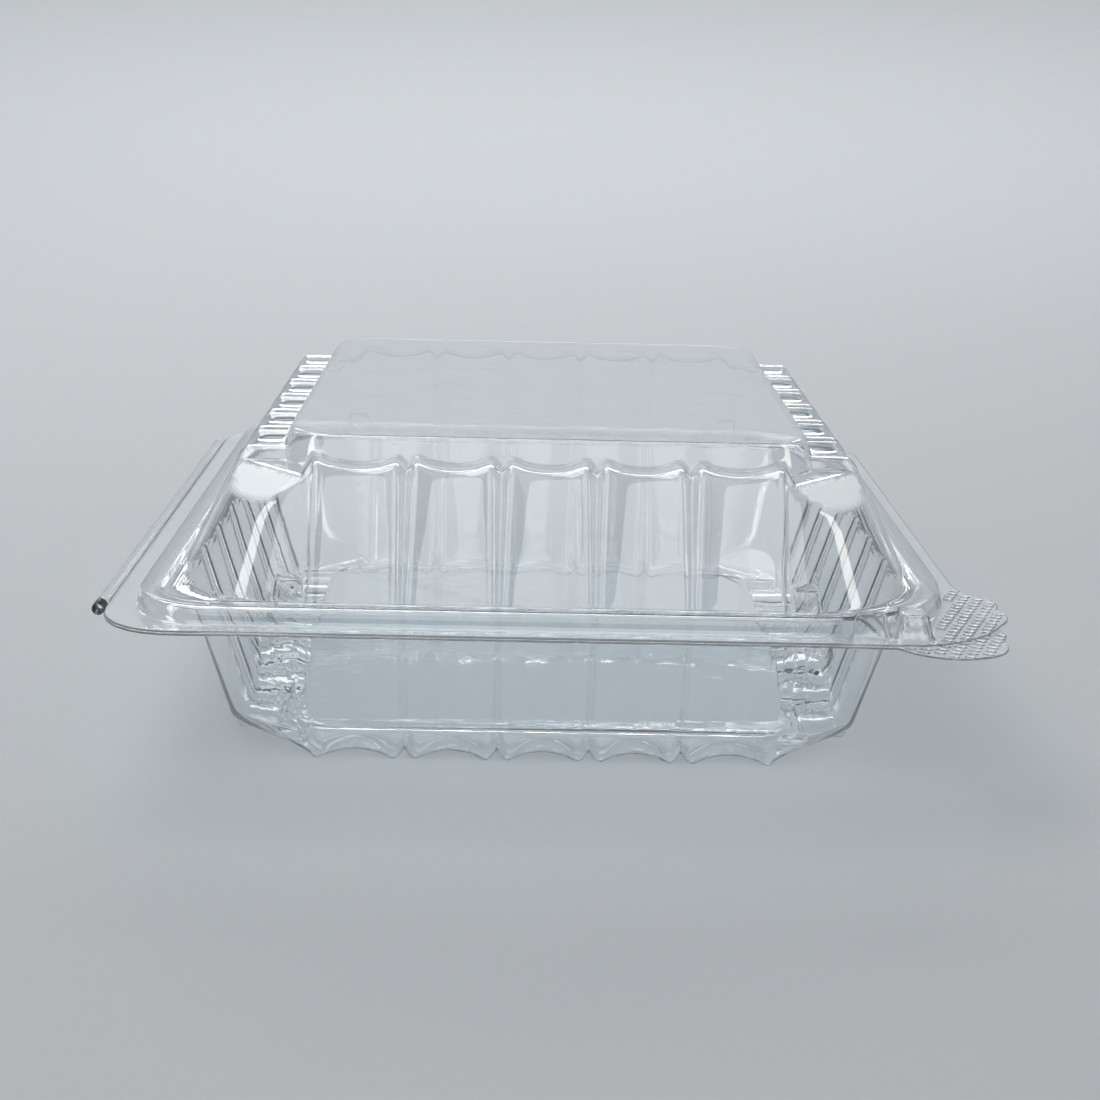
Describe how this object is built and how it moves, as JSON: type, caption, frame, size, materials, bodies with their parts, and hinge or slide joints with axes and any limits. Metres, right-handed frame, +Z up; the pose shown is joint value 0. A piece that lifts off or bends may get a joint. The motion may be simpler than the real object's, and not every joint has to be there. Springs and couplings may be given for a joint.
{
  "type": "hinged plastic clamshell pack",
  "caption": "Clear hinged food pack: fluted tray and fluted lid formed from one sheet, joined by a rolled hinge bead and closed by a snap bead with a corner button and two grip tabs.",
  "frame": {"origin": "middle of the plane that the foot ring stands on", "axes": "+Z up; the hinge bead runs along Y on the -X side and the pack opens at +X; the grip tabs are at the +X, -Y corner"},
  "size_m": [0.2168, 0.2321, 0.0774],
  "materials": {
    "clear_sheet": "clear gloss"
  },
  "bodies": {
    "base": {"base": "clear_sheet", "hinge": "clear_sheet"},
    "lid": {"lid": "clear_sheet"}
  },
  "joints": [
    {"name": "lid_hinge", "type": "hinge", "parent": "base", "child": "lid", "pos_m": [-0.1051, 0, 0.039], "axis": [0, -1, 0], "range_deg": [0, 180], "deforming": ["hinge"]}
  ]
}
